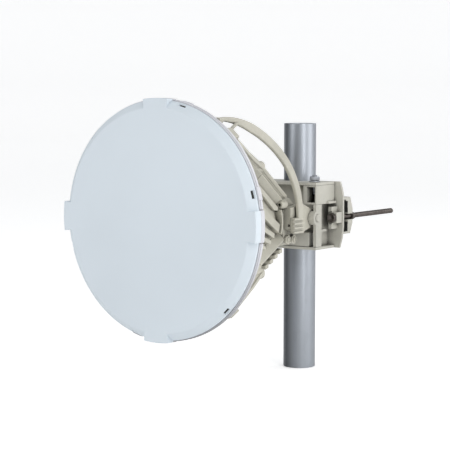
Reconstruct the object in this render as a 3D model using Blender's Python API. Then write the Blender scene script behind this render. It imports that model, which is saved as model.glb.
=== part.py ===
"""Small microwave dish antenna on a pole clamp.

The origin is the middle of the pole's bottom end, +Z is up, and the dish looks along -Y.
Sizes are in metres. "Depth" is the distance behind the dish's front plane.
"""
import math

import bmesh
import bpy
from mathutils import Matrix, Vector

MM = 0.001
GAP = 0.3 * MM

# Pole
POLE_RADIUS = 48.3 / 2 * MM
POLE_WALL = 3.2 * MM
POLE_LENGTH = 370 * MM
POLE_END_DISC = 4 * MM

# Dish, all turned about its own axis
DISH_AXIS_Z = 245 * MM
FRONT_Y = -350 * MM
FACE_RADIUS = 150.5 * MM
HOOP_RADIUS = 160.5 * MM
RIM_RADIUS = 162 * MM
CHAMFER_DEPTH = 9 * MM
RADOME_DEPTH = 12.5 * MM
RADOME_WALL = 3 * MM
RIM_DEPTH = 20.5 * MM
REFLECTOR_FOCUS = 75 * MM
REFLECTOR_RADIUS = 154.2 * MM
REFLECTOR_LIP_DEPTH = 15.5 * MM
REFLECTOR_WALL = 2 * MM
FEED_RADIUS = 12 * MM
TAB_WIDTH = 41 * MM
TAB_RADIUS = 163 * MM
SNAP_COUNT = 6
SNAP_START_DEG = 15
SNAP_SLOT_LENGTH = 11 * MM
SNAP_SLOT_WIDTH = 3.4 * MM
SNAP_SLOT_DEPTH = 7.6 * MM

# Radio housing, which narrows towards the back, most from the top
HOUSING_Z = 240 * MM
HOUSING_FRONT = 100 * MM
HOUSING_BACK = 245 * MM
TAPER_DEPTH = 144 * MM
HOUSING_HALF_WIDTH = 70 * MM
HOUSING_HALF_HEIGHT = 76 * MM
WIDTH_TAPER = 0.27
TOP_TAPER = 0.48
BOTTOM_TAPER = 0.28
FIN_HEIGHT = 12 * MM
FIN_FLOOR = 3 * MM
RIDGE_HALF_WIDTH = 8 * MM

# Legs from the rim to the screw bosses, on lines of their own in front of the bosses
LEG_WIDTH_TAPER = 0.33
LEG_HEIGHT_TAPER = 0.32
BOSS_DEPTH = 136 * MM
BOSS_RADIUS = 7.5 * MM
BOSS_LENGTH = 24 * MM
LEG_DEPTH = 31 * MM
LEG_OUTWARD = 2.5 * MM
FOOT_CLOCK_DEG = 42
FOOT_DEPTH = 34 * MM
HUB_BACK = 272 * MM
HUB_HALF_WIDTH = 40 * MM
HUB_BOTTOM_Z = 194 * MM
HUB_TOP_Z = 268 * MM
HUB_BACK_TOP_Z = 262 * MM
LUG_TOP_Z = 235.5 * MM

# Pole clamp and tilt pivot
CLAMP_TOP_Z = 284 * MM
CLAMP_BOTTOM_Z = 185 * MM
PLATE = 4 * MM
CLAMP_HALF_WIDTH = 62 * MM
CLAMP_FRONT_Y = -51 * MM
SADDLE_FRONT_Y = -30 * MM
SADDLE_HALF_WIDTH = 50 * MM
EAR_THICKNESS = 4 * MM
BOX_INNER_X = 39.5 * MM
BOX_BOTTOM_Z = 252 * MM
SHELF_TOP_Z = 210.5 * MM
CHEEK_INNER_X = 57 * MM
TILT_Y = -48 * MM
TILT_Z = 232 * MM
KNUCKLE_RADIUS = 10.6 * MM
PIN_RADIUS = 4 * MM
PIN_CLEARANCE = 0.35 * MM
ARM_OUTER_X = 52 * MM
ARM_END_RADIUS = 13 * MM

# Clamp bolts, M8
BOLT_X = 68 * MM
BOLT_Z = 231 * MM
BOLT_RADIUS = 4 * MM
BOLT_HOLE = 4.4 * MM
BOLT_END_Y = 160 * MM
HEX_ACROSS_FLATS = 13 * MM
HEX_HEAD = 5.3 * MM
HEX_NUT = 6.5 * MM
WASHER_RADIUS = 8 * MM
WASHER = 1.6 * MM
BOLT_SEAT_Y = -15 * MM
JAW_FRONT_Y = 14 * MM
JAW_BACK_Y = 30 * MM
JAW_HALF_WIDTH = 77 * MM
JAW_BOTTOM_Z = 205 * MM
JAW_TOP_Z = 260 * MM
TOP_BOLT_X = 47 * MM
TOP_BOLT_Y = -32 * MM

DISH_STEPS = 96
ROUND_STEPS = 24


def clear_scene():
    for thing in list(bpy.data.objects):
        bpy.data.objects.remove(thing, do_unlink=True)


def material(name, colour, roughness, metallic=0.0):
    made = bpy.data.materials.new(name)
    made.use_nodes = True
    shader = made.node_tree.nodes["Principled BSDF"]
    shader.inputs["Base Color"].default_value = (*colour, 1)
    shader.inputs["Roughness"].default_value = roughness
    shader.inputs["Metallic"].default_value = metallic
    made.diffuse_color = (*colour, 1)
    return made


def radome_white(name):
    return material(name, (0.62, 0.68, 0.72), 0.5)


def cast_paint(name):
    return material(name, (0.56, 0.53, 0.43), 0.55)


def clamp_paint(name):
    return material(name, (0.58, 0.57, 0.5), 0.55)


def zinc_steel(name):
    return material(name, (0.45, 0.44, 0.42), 0.4, 1.0)


def galvanised(name):
    return material(name, (0.4, 0.42, 0.45), 0.45, 0.9)


def bare_aluminium(name):
    return material(name, (0.7, 0.7, 0.7), 0.4, 1.0)


def link(name, shape, finish, carrier=None):
    """Make an object from a bmesh, with a material of its own, carried by an empty."""
    bmesh.ops.recalc_face_normals(shape, faces=shape.faces)
    mesh = bpy.data.meshes.new(name)
    shape.to_mesh(mesh)
    shape.free()
    mesh.shade_smooth()
    mesh.set_sharp_from_angle(angle=math.radians(30))
    mesh.materials.append(finish(name))
    made = bpy.data.objects.new(name, mesh)
    bpy.context.collection.objects.link(made)
    if carrier:
        made.parent = carrier
        made.matrix_parent_inverse = carrier.matrix_world.inverted()
    return made


def axis_empty(name, place, parent=None):
    made = bpy.data.objects.new(name, None)
    made.empty_display_size = 0.03
    bpy.context.collection.objects.link(made)
    made.location = place
    bpy.context.view_layer.update()
    if parent:
        made.parent = parent
        made.matrix_parent_inverse = parent.matrix_world.inverted()
        bpy.context.view_layer.update()
    return made


def boolean(target, shape, operation):
    """Join a hidden helper shape to the target, or cut it away."""
    bmesh.ops.recalc_face_normals(shape, faces=shape.faces)
    mesh = bpy.data.meshes.new(target.name + "_helper")
    shape.to_mesh(mesh)
    shape.free()
    helper = bpy.data.objects.new(mesh.name, mesh)
    bpy.context.collection.objects.link(helper)
    helper.hide_render = True
    helper.display_type = "WIRE"
    step = target.modifiers.new(operation.lower(), "BOOLEAN")
    step.operation = operation
    step.object = helper


def fuse(target, *shapes):
    for shape in shapes:
        boolean(target, shape, "UNION")


def cut(target, *shapes):
    for shape in shapes:
        boolean(target, shape, "DIFFERENCE")


def loft(rings):
    """Closed solid through rings of the same number of points, with flat ends."""
    shape = bmesh.new()
    rows = [[shape.verts.new(point) for point in ring] for ring in rings]
    count = len(rows[0])
    for near, far in zip(rows, rows[1:]):
        for i in range(count):
            j = (i + 1) % count
            shape.faces.new((near[i], near[j], far[j], far[i]))
    shape.faces.new(rows[0][::-1])
    shape.faces.new(rows[-1])
    return shape


def along(axis, a, b, height):
    """Point whose place on the named axis is height, and a, b on the other two in order."""
    if axis == "X":
        return Vector((height, a, b))
    if axis == "Y":
        return Vector((a, height, b))
    return Vector((a, b, height))


def prism(axis, outline, low, high):
    return loft([[along(axis, a, b, level) for a, b in outline] for level in (low, high)])


def block(low, high):
    x0, y0, z0 = low
    x1, y1, z1 = high
    return prism("Z", [(x0, y0), (x1, y0), (x1, y1), (x0, y1)], z0, z1)


def circle(radius, centre=(0, 0), steps=ROUND_STEPS, start=0.0, sweep=math.tau):
    """Points of a circle, or of an arc with both its ends when sweep is less than a turn."""
    whole = abs(sweep - math.tau) < 1e-6
    count = steps if whole else steps + 1
    turns = [start + sweep * i / steps for i in range(count)]
    return [(centre[0] + radius * math.cos(t), centre[1] + radius * math.sin(t)) for t in turns]


def rod(axis, centre, radius, low, high, steps=ROUND_STEPS):
    return prism(axis, circle(radius, centre, steps), low, high)


def hexagon(centre, across_flats):
    return circle(across_flats / math.sqrt(3), centre, 6)


def turned(profile, axis, centre, steps=DISH_STEPS):
    """Turn a profile of (radius, place along the axis) about the axis; radius 0 closes an end."""
    shape = bmesh.new()
    rows = []
    for radius, height in profile:
        if radius == 0:
            rows.append([shape.verts.new(along(axis, *centre, height))])
            continue
        points = circle(radius, centre, steps)
        rows.append([shape.verts.new(along(axis, a, b, height)) for a, b in points])
    closed = profile[0][0] != 0
    pairs = list(zip(rows, rows[1:]))
    if closed:
        pairs.append((rows[-1], rows[0]))
    for near, far in pairs:
        for i in range(steps):
            j = (i + 1) % steps
            corners = [near[i % len(near)], near[j % len(near)], far[j % len(far)], far[i % len(far)]]
            shape.faces.new(list(dict.fromkeys(corners)))
    return shape


def dish_turned(profile, steps=DISH_STEPS):
    """Turn (radius, depth) points about the dish's axis."""
    placed = [(radius, FRONT_Y + depth) for radius, depth in profile]
    return turned(placed, "Y", (0, DISH_AXIS_Z), steps)


def about_dish(shape, clock_deg):
    """Turn a shape made at twelve o'clock round the dish, clockwise seen from the front."""
    centre = Vector((0, 0, DISH_AXIS_Z))
    turn = Matrix.Rotation(math.radians(clock_deg), 3, "Y")
    bmesh.ops.rotate(shape, cent=centre, matrix=turn, verts=shape.verts)
    return shape


def half_width(depth):
    """Half width of the housing's outline, over its ridges, at a depth."""
    return HOUSING_HALF_WIDTH - WIDTH_TAPER * (depth - TAPER_DEPTH)


def half_height(depth, up=1):
    """Height of the outline over the housing's middle, or under it when up is -1, at a depth."""
    taper = TOP_TAPER if up > 0 else BOTTOM_TAPER
    return HOUSING_HALF_HEIGHT - taper * (depth - TAPER_DEPTH)


def flank(side, outline, low, high):
    """Solid on one sloping side of the housing.

    The outline holds (depth, distance across) points. Low and high are heights over the
    housing's outer slope. Side is right, left, top or bottom.
    """
    rings = []
    for height in (low, high):
        ring = []
        for depth, across in outline:
            wide = half_width(depth) + height
            tall = half_height(depth, -1 if side == "bottom" else 1) + height
            y = FRONT_Y + depth
            place = {"right": (wide, y, HOUSING_Z + across), "left": (-wide, y, HOUSING_Z + across),
                     "top": (across, y, HOUSING_Z + tall), "bottom": (across, y, HOUSING_Z - tall)}
            ring.append(Vector(place[side]))
        rings.append(ring)
    return loft(rings)


def bar(start, end, width):
    """Four corners of a straight bar between two (depth, across) points."""
    a = Vector(start)
    b = Vector(end)
    along_bar = (b - a).normalized()
    off = Vector((-along_bar.y, along_bar.x)) * width / 2
    return [tuple(a - off), tuple(b - off), tuple(b + off), tuple(a + off)]


def make_pole():
    outer = POLE_RADIUS
    bore = POLE_RADIUS - POLE_WALL
    profile = [(0, 0), (outer, 0), (outer, POLE_LENGTH), (bore, POLE_LENGTH),
               (bore, POLE_END_DISC), (0, POLE_END_DISC)]
    link("mast_pole", turned(profile, "Z", (0, 0), 64), galvanised)


def pole_notch(half_width, front, back):
    """Plan outline of a plate whose back edge wraps the front half of the pole."""
    reach = POLE_RADIUS + GAP
    hollow = circle(reach, (0, 0), 16, 0, -math.pi)
    return [(-half_width, front), (half_width, front), (half_width, back), (reach, back),
            *hollow, (-reach, back), (-half_width, back)]


def make_saddle(carrier):
    """Casting against the pole's front, with an ear on each side for the clamp bolts."""
    low = CLAMP_BOTTOM_Z + PLATE + GAP
    high = CLAMP_TOP_Z - PLATE - GAP
    step = BOX_BOTTOM_Z - GAP
    lower = prism("Z", pole_notch(SADDLE_HALF_WIDTH, SADDLE_FRONT_Y, EAR_THICKNESS), low, step)
    upper_half = BOX_INNER_X - GAP
    upper = prism("Z", pole_notch(upper_half, SADDLE_FRONT_Y, EAR_THICKNESS), step - MM, high)
    saddle = link("clamp_saddle", lower, clamp_paint, carrier)
    fuse(saddle, upper)
    for side in (1, -1):
        ear = [(side * x * MM, z * MM) for x, z in
               ((30, 185), (70.5, 185), (74.5, 200), (76.3, 217), (76.3, 262), (74.5, 272),
                (70.5, 284), (30, 284))]
        ear[0] = (side * (POLE_RADIUS + 2 * GAP), CLAMP_BOTTOM_Z)
        ear[-1] = (side * (POLE_RADIUS + 2 * GAP), CLAMP_TOP_Z)
        bolt_boss = block((side * 61 * MM, BOLT_SEAT_Y, BOLT_Z - 8 * MM),
                          (side * 75 * MM, MM, BOLT_Z + 8 * MM))
        boss_rib = block((side * 61.5 * MM, BOLT_SEAT_Y - 1.5 * MM, 214 * MM),
                         (side * 67 * MM, MM, 247 * MM))
        ledge = block((side * 49 * MM, -35.5 * MM, 211 * MM), (side * 61 * MM, -21 * MM, 214.5 * MM))
        fuse(saddle, prism("Y", ear, 0, EAR_THICKNESS), boss_rib, bolt_boss, ledge)
        seat = rod("Y", (side * BOLT_X, BOLT_Z), 10 * MM, -40 * MM, BOLT_SEAT_Y)
        hole = rod("Y", (side * BOLT_X, BOLT_Z), BOLT_HOLE, -20 * MM, 10 * MM)
        cut(saddle, seat, hole)


def make_plates(carrier):
    """Top and bottom plates of the clamp, notched round the pole."""
    outline = pole_notch(CLAMP_HALF_WIDTH, CLAMP_FRONT_Y - MM, -GAP)
    levels = {"clamp_top_plate": CLAMP_TOP_Z - PLATE, "clamp_bottom_plate": CLAMP_BOTTOM_Z}
    for name, low in levels.items():
        plate = link(name, prism("Z", outline, low, low + PLATE), clamp_paint, carrier)
        if low > CLAMP_BOTTOM_Z:
            for side in (1, -1):
                cut(plate, rod("Z", (side * TOP_BOLT_X, TOP_BOLT_Y), BOLT_HOLE, low - MM, low + 6 * MM))


def make_side_boxes(carrier):
    """Hollow boxes under the top plate, each open to the front, with the pivot cheeks below."""
    top = CLAMP_TOP_Z - PLATE - GAP
    for side, word in ((1, "right"), (-1, "left")):
        outer = block((side * BOX_INNER_X, CLAMP_FRONT_Y, BOX_BOTTOM_Z),
                      (side * CLAMP_HALF_WIDTH, -GAP, top))
        box = link("side_box_" + word, outer, clamp_paint, carrier)
        lip = block((side * 61 * MM, -22 * MM, BOX_BOTTOM_Z), (side * 65.5 * MM, -GAP, 255.5 * MM))
        fuse(box, lip)
        window = block((side * 45.5 * MM, CLAMP_FRONT_Y - MM, 254.7 * MM),
                       (side * 59.5 * MM, -6 * MM, 277.6 * MM))
        bolt_hole = rod("Z", (side * TOP_BOLT_X, TOP_BOLT_Y), BOLT_HOLE, 264 * MM, 285 * MM)
        cut(box, window, bolt_hole)

        cheek_body = block((side * CHEEK_INNER_X, CLAMP_FRONT_Y, CLAMP_BOTTOM_Z + PLATE + GAP),
                           (side * CLAMP_HALF_WIDTH, -36 * MM, BOX_BOTTOM_Z - GAP))
        cheek = link("pivot_cheek_" + word, cheek_body, clamp_paint, carrier)
        knuckle = rod("X", (TILT_Y, TILT_Z), KNUCKLE_RADIUS, side * (ARM_OUTER_X + 2 * GAP),
                      side * (CLAMP_HALF_WIDTH + 0.6 * MM))
        fuse(cheek, knuckle)
        bore = rod("X", (TILT_Y, TILT_Z), PIN_RADIUS + PIN_CLEARANCE, side * 40 * MM, side * 70 * MM)
        cut(cheek, bore)

        pin_head = CLAMP_HALF_WIDTH + 0.6 * MM + GAP
        profile = [(0, 34.7), (6.5, 34.7), (6.5, 39.7), (4, 39.7)]
        pin = [(r * MM, x * MM) for r, x in profile]
        pin += [(PIN_RADIUS, pin_head), (6 * MM, pin_head), (5 * MM, pin_head + 2.6 * MM),
                (0, pin_head + 2.6 * MM)]
        pin = [(r, side * x) for r, x in pin]
        link("pivot_pin_" + word, turned(pin, "X", (TILT_Y, TILT_Z), ROUND_STEPS), zinc_steel, carrier)


def make_shelf(carrier):
    """Lower front box of the clamp, under the tilt arms."""
    shelf = block((-49.2 * MM, CLAMP_FRONT_Y, CLAMP_BOTTOM_Z + PLATE + GAP),
                  (49.2 * MM, SADDLE_FRONT_Y - GAP, SHELF_TOP_Z))
    link("clamp_shelf", shelf, clamp_paint, carrier)


def jaw_outline():
    """Plan of the jaw's web, with a V that bears on the pole's back."""
    touch = (POLE_RADIUS + GAP) * math.sqrt(2)
    half = [(touch - JAW_FRONT_Y, JAW_FRONT_Y), (JAW_HALF_WIDTH, JAW_FRONT_Y),
            (JAW_HALF_WIDTH, JAW_BACK_Y - 3 * MM), (66 * MM, JAW_BACK_Y), (44 * MM, JAW_BACK_Y),
            (20 * MM, 40 * MM)]
    mirrored = [(-x, y) for x, y in half[::-1]]
    return [(0, touch), *half, *mirrored]


def make_jaw(carrier):
    jaw = link("clamp_jaw", prism("Z", jaw_outline(), JAW_BOTTOM_Z, JAW_TOP_Z), clamp_paint, carrier)
    for side in (1, -1):
        for low in (JAW_BOTTOM_Z, JAW_TOP_Z - 3.5 * MM):
            lip = [(side * 27 * MM, 6 * MM), (side * 73 * MM, 6 * MM),
                   (side * JAW_HALF_WIDTH, JAW_FRONT_Y + MM), (side * 27 * MM, JAW_FRONT_Y + MM)]
            fuse(jaw, prism("Z", lip, low, low + 3.5 * MM))
        slot = block((side * 63 * MM, 0, BOLT_Z - BOLT_HOLE), (side * 80 * MM, 40 * MM, BOLT_Z + BOLT_HOLE))
        trims = [prism("Y", [(side * (JAW_HALF_WIDTH + MM), z0), (side * (JAW_HALF_WIDTH - 5 * MM), z0),
                             (side * (JAW_HALF_WIDTH + MM), z1)], 0, 45 * MM)
                 for z0, z1 in ((JAW_TOP_Z + GAP, 240 * MM), (JAW_BOTTOM_Z - GAP, 225 * MM))]
        cut(jaw, slot, *trims)


def make_clamp_bolts(carrier):
    for side, word in ((1, "right"), (-1, "left")):
        centre = (side * BOLT_X, BOLT_Z)
        head_back = BOLT_SEAT_Y - GAP
        shank = [(0, head_back - 2 * MM), (BOLT_RADIUS, head_back - 2 * MM),
                 (BOLT_RADIUS, BOLT_END_Y - MM), (BOLT_RADIUS - MM, BOLT_END_Y), (0, BOLT_END_Y)]
        bolt = link("clamp_bolt_" + word, turned(shank, "Y", centre, ROUND_STEPS), zinc_steel, carrier)
        fuse(bolt, prism("Y", hexagon(centre, HEX_ACROSS_FLATS), head_back - HEX_HEAD, head_back))

        washer_front = JAW_BACK_Y + GAP
        ring = [(WASHER_RADIUS, washer_front), (WASHER_RADIUS, washer_front + WASHER),
                (BOLT_HOLE, washer_front + WASHER), (BOLT_HOLE, washer_front)]
        link("clamp_washer_" + word, turned(ring, "Y", centre, ROUND_STEPS), zinc_steel, carrier)

        nut_front = washer_front + WASHER + GAP
        nut = link("clamp_nut_" + word,
                   prism("Y", hexagon(centre, HEX_ACROSS_FLATS), nut_front, nut_front + HEX_NUT),
                   zinc_steel, carrier)
        cut(nut, rod("Y", centre, BOLT_RADIUS + GAP, nut_front - MM, nut_front + 10 * MM))


def make_top_bolts(carrier):
    for side, word in ((1, "right"), (-1, "left")):
        centre = (side * TOP_BOLT_X, TOP_BOLT_Y)
        low = CLAMP_TOP_Z + GAP
        ring = [(WASHER_RADIUS, low), (WASHER_RADIUS, low + WASHER), (BOLT_HOLE, low + WASHER),
                (BOLT_HOLE, low)]
        link("top_washer_" + word, turned(ring, "Z", centre, ROUND_STEPS), zinc_steel, carrier)
        nut_low = low + WASHER + GAP
        shank = rod("Z", centre, BOLT_RADIUS, 266 * MM, nut_low + HEX_NUT + 2.2 * MM)
        bolt = link("top_bolt_" + word, shank, zinc_steel, carrier)
        fuse(bolt, prism("Z", hexagon(centre, HEX_ACROSS_FLATS), nut_low, nut_low + HEX_NUT))


def make_radome(carrier):
    wall = RADOME_WALL
    profile = [(0, 0), (FACE_RADIUS, 0), (HOOP_RADIUS, CHAMFER_DEPTH), (HOOP_RADIUS, RADOME_DEPTH),
               (HOOP_RADIUS - wall, RADOME_DEPTH), (HOOP_RADIUS - wall, CHAMFER_DEPTH + MM),
               (FACE_RADIUS - MM, wall), (0, wall)]
    radome = link("radome", dish_turned(profile), radome_white, carrier)
    for clock in (0, 90, 180, 270):
        tab = block((-TAB_WIDTH / 2, FRONT_Y, DISH_AXIS_Z + 147 * MM),
                    (TAB_WIDTH / 2, FRONT_Y + RADOME_DEPTH, DISH_AXIS_Z + TAB_RADIUS))
        fuse(radome, about_dish(tab, clock))
    for i in range(SNAP_COUNT):
        half = Vector((SNAP_SLOT_LENGTH / 2, SNAP_SLOT_WIDTH / 2, 6 * MM))
        centre = Vector((0, FRONT_Y + SNAP_SLOT_DEPTH, DISH_AXIS_Z + 159.5 * MM))
        slot = block(centre - half, centre + half)
        cut(radome, about_dish(slot, SNAP_START_DEG + 360 / SNAP_COUNT * i))


def make_rim(carrier):
    """Flange that the radome snaps on, grooved, with a lug at each snap and a pad behind each tab."""
    front = RADOME_DEPTH + GAP
    inner = REFLECTOR_RADIUS + GAP
    radius = RIM_RADIUS
    groove = radius - 1.2 * MM
    profile = [(inner, front), (radius, front), (radius, front + 1.4 * MM), (groove, front + 2 * MM),
               (groove, front + 3 * MM), (radius, front + 3.6 * MM), (radius, RIM_DEPTH), (inner, RIM_DEPTH)]
    rim = link("reflector_rim", dish_turned(profile), radome_white, carrier)
    lugs = [(17 * MM, SNAP_START_DEG + 360 / SNAP_COUNT * i) for i in range(SNAP_COUNT)]
    pads = [(TAB_WIDTH, clock) for clock in (0, 90, 180, 270)]
    for width, clock in lugs + pads:
        raised = block((-width / 2, FRONT_Y + front, DISH_AXIS_Z + 157 * MM),
                       (width / 2, FRONT_Y + RIM_DEPTH, DISH_AXIS_Z + TAB_RADIUS))
        fuse(rim, about_dish(raised, clock))


def bowl_depth(radius):
    """Depth of the reflector's front surface, a paraboloid, at a radius."""
    return REFLECTOR_LIP_DEPTH + (REFLECTOR_RADIUS ** 2 - radius ** 2) / (4 * REFLECTOR_FOCUS)


def make_reflector(carrier):
    """Paraboloid bowl and its feed, behind the radome."""
    steps = 12
    radii = [FEED_RADIUS + (REFLECTOR_RADIUS - FEED_RADIUS) * i / steps for i in range(steps + 1)]
    front = [(r, bowl_depth(r)) for r in radii]
    back = [(r, bowl_depth(r) + REFLECTOR_WALL) for r in radii[::-1]]
    link("reflector", dish_turned(front + back, 64), bare_aluminium, carrier)
    vertex = bowl_depth(0)
    focus = vertex - REFLECTOR_FOCUS
    tube = FEED_RADIUS - GAP
    collar = vertex + REFLECTOR_WALL + GAP
    end = HOUSING_FRONT - GAP
    profile = [(0, end), (18 * MM, end), (18 * MM, collar), (tube, collar), (tube, vertex - 6 * MM),
               (7 * MM, vertex - 10 * MM), (7 * MM, focus + 9 * MM), (20 * MM, focus + MM),
               (20 * MM, focus - 2 * MM), (0, focus - 4 * MM)]
    link("feed_horn", dish_turned(profile, ROUND_STEPS), bare_aluminium, carrier)


def make_housing(carrier):
    """Core of the housing, a rectangle with cut corners that narrows to the back."""
    corner = RIDGE_HALF_WIDTH * math.sqrt(2)
    rings = []
    for depth in (HOUSING_FRONT, HOUSING_BACK):
        wide = half_width(depth) - FIN_HEIGHT
        top = half_height(depth) - FIN_HEIGHT
        bottom = FIN_HEIGHT - half_height(depth, -1)
        points = [(wide, top - corner), (wide - corner, top), (corner - wide, top), (-wide, top - corner),
                  (-wide, bottom + corner), (corner - wide, bottom), (wide - corner, bottom),
                  (wide, bottom + corner)]
        rings.append([Vector((x, FRONT_Y + depth, HOUSING_Z + z)) for x, z in points])
    link("radio_housing", loft(rings), cast_paint, carrier)


CORNERS = {"upper_right": (1, 1), "lower_right": (1, -1), "lower_left": (-1, -1), "upper_left": (-1, 1)}


def off_corner(signs, depth, corner, outward, across):
    """Point moved along and across the diagonal from a corner, given by its half width and height."""
    right, up = signs
    x = right * (corner[0] + (outward + across) / math.sqrt(2))
    z = up * (corner[1] + (outward - across) / math.sqrt(2))
    return Vector((x, FRONT_Y + depth, HOUSING_Z + z))


def from_corner(signs, depth, outward, across):
    """Point near one corner of the housing's outline."""
    return off_corner(signs, depth, (half_width(depth), half_height(depth, signs[1])), outward, across)


def from_leg_line(signs, depth, outward, across):
    """Point near the line of one leg. The lines meet the housing's corners at the bosses.

    In front of the housing the four lines move up, to be even about the dish's axis.
    """
    ahead = TAPER_DEPTH - depth
    rise = max(0, HOUSING_FRONT - depth) * (DISH_AXIS_Z - HOUSING_Z) / (HOUSING_FRONT - RIM_DEPTH)
    corner = (HOUSING_HALF_WIDTH + LEG_WIDTH_TAPER * ahead,
              HOUSING_HALF_HEIGHT + LEG_HEIGHT_TAPER * ahead + signs[1] * rise)
    return off_corner(signs, depth, corner, outward, across)


def mirrored(half):
    return half + [(outward, -across) for outward, across in half[::-1]]


def leg_outline(inner, outer):
    """Section of a leg, with a groove along each side and cut outer edges."""
    half = RIDGE_HALF_WIDTH
    notch = 2.5 * MM
    return mirrored([(inner, -half), (outer - 9 * MM, -half), (outer - 9 * MM, notch - half),
                     (outer - 4 * MM, notch - half), (outer - 4 * MM, -half), (outer - 1.5 * MM, -half),
                     (outer, 1.5 * MM - half)])


def ridge_outline(inner, up):
    """Section of a ridge: a flat bar, which has a narrow neck and head on it on the upper side."""
    half = RIDGE_HALF_WIDTH
    if up < 0:
        return mirrored([(inner, -half), (-half, -half)])
    return mirrored([(inner, -half), (-half, -half), (MM - half, MM - half), (MM - half, -2.5 * MM),
                     (-2.7 * MM, -2.5 * MM), (-2.7 * MM, -3.5 * MM), (1.8 * MM, -3.5 * MM),
                     (2.8 * MM, -2.5 * MM)])


def make_corners(carrier):
    """A leg from the rim to a boss on each corner of the housing, and a ridge behind it."""
    boss_front = BOSS_DEPTH - BOSS_LENGTH / 2
    boss_back = boss_front + BOSS_LENGTH
    seat = -RIDGE_HALF_WIDTH - FIN_HEIGHT * math.sqrt(2) + GAP
    slender = leg_outline(LEG_OUTWARD - 16 * MM, LEG_OUTWARD)
    deep = leg_outline(seat, LEG_OUTWARD)
    for word, signs in CORNERS.items():
        rings = [[from_leg_line(signs, LEG_DEPTH, *point) for point in slender]]
        inner_ends = [from_corner(signs, HOUSING_FRONT, *point) for point in (deep[0], deep[-1])]
        outer = [from_leg_line(signs, HOUSING_FRONT, *point) for point in deep[1:-1]]
        rings.append([inner_ends[0], *outer, inner_ends[1]])
        rings += [[from_corner(signs, depth, *point) for point in deep] for depth in (TAPER_DEPTH, boss_back)]
        leg = link("corner_leg_" + word, loft(rings), cast_paint, carrier)
        centre = from_leg_line(signs, BOSS_DEPTH, -6.5 * MM, 0)
        boss = rod("Y", (centre.x, centre.z), BOSS_RADIUS, FRONT_Y + boss_front, FRONT_Y + boss_back + 0.1 * MM)
        right, up = signs
        clock = right * (FOOT_CLOCK_DEG if up > 0 else 180 - FOOT_CLOCK_DEG)
        side = [(RIM_DEPTH + GAP, 153 * MM), (RIM_DEPTH + GAP, 160.5 * MM), (FOOT_DEPTH, 160.5 * MM),
                (FOOT_DEPTH, 147 * MM), (28 * MM, 147 * MM)]
        foot = prism("X", [(FRONT_Y + depth, DISH_AXIS_Z + r) for depth, r in side], -8.5 * MM, 8.5 * MM)
        fuse(leg, about_dish(foot, clock), boss)
        rings = [[from_corner(signs, depth, *point) for point in ridge_outline(seat, up)]
                 for depth in (boss_back + 2 * GAP, HOUSING_BACK)]
        ridge_bar = link("corner_ridge_" + word, loft(rings), cast_paint, carrier)
        if up > 0:
            fuse(ridge_bar, rod("Y", (right * 44 * MM, 255 * MM), 5.5 * MM, -121 * MM, -106.5 * MM))


def in_mm(outline):
    return [(depth * MM, across * MM) for depth, across in outline]


def make_side_fins(carrier):
    """Tapered bars, a broad panel and a curved collar on each side of the housing."""
    low = GAP - FIN_HEIGHT
    plate = FIN_FLOOR - FIN_HEIGHT
    base = [(104, 69), (104, -60), (240, -24), (240, 5)]
    panel = [(104, 69), (224, 12.5), (224, 7), (209, 9), (155, 36.5), (104, 61)]
    bars = [bar(*line) for line in (((104, 34), (226, -19), 13), ((104, 5), (205, -27.5), 7),
                                    ((104, -12), (190.7, -35.4), 6), ((104, -28), (168, -41), 5))]
    centre = (205, -10.5)
    start = math.radians(-35)
    sweep = math.radians(76)
    collar = circle(30, centre, 12, start, sweep) + circle(24.5, centre, 12, start + sweep, -sweep)
    for side in ("right", "left"):
        fins = link("side_fins_" + side, flank(side, in_mm(base), low, plate), cast_paint, carrier)
        fuse(fins, flank(side, in_mm(panel), plate - MM, -3 * MM))
        for outline in bars:
            fuse(fins, flank(side, in_mm(outline), plate - MM, -MM))
        fuse(fins, flank(side, in_mm(collar), plate - 1.3 * MM, 2 * MM))


def make_top_fins(carrier):
    low = GAP - FIN_HEIGHT
    plate = FIN_FLOOR - FIN_HEIGHT
    base = [(104, 57), (104, -57), (240, -20), (240, 20)]
    fins = link("top_fins", flank("top", in_mm(base), low, plate), cast_paint, carrier)
    for across in (-51, -34, -17, 0, 17, 34, 51):
        line = in_mm(bar((107, across), (238, across / 3), 3.5))
        fuse(fins, flank("top", line, plate - MM, -1.5 * MM))


def make_bottom_fins(carrier):
    """Cross fins that step up under the housing, on a keel along its middle."""
    keel = [(104, 35), (104, -35), (243, -14), (243, 14)]
    fins = link("bottom_fins", flank("bottom", in_mm(keel), GAP - FIN_HEIGHT, 2 * MM), cast_paint, carrier)
    for i in range(5):
        front = (159 + 19 * i) * MM
        back = front + 8 * MM
        reach = half_width(back) - 3 * MM
        plate = [(front, reach), (front, -reach), (back, -reach), (back, reach)]
        fuse(fins, flank("bottom", plate, GAP, 6.5 * MM))


def make_hub(carrier):
    """Block between the housing and the tilt arms, with two port caps on its right side."""
    def ring(depth, top):
        half = HUB_HALF_WIDTH
        corner = 8 * MM
        inner = half - corner
        lower = HUB_BOTTOM_Z
        points = [(half, top - corner), (inner, top), (-inner, top), (-half, top - corner),
                  (-half, lower + corner), (-inner, lower), (inner, lower), (half, lower + corner)]
        return [Vector((x, FRONT_Y + depth, z)) for x, z in points]
    body = loft([ring(HOUSING_BACK + GAP, HUB_TOP_Z), ring(HUB_BACK, HUB_BACK_TOP_Z)])
    link("hub_block", body, cast_paint, carrier)
    for i, y in enumerate((-98 * MM, -83.5 * MM)):
        cap = prism("X", hexagon((y, 203 * MM), 12 * MM), HUB_HALF_WIDTH + GAP, 45 * MM)
        made = link("port_cap_%d" % (i + 1), cap, cast_paint, carrier)
        fuse(made, rod("X", (y, 203 * MM), 4 * MM, 44 * MM, 46.5 * MM))


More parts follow.
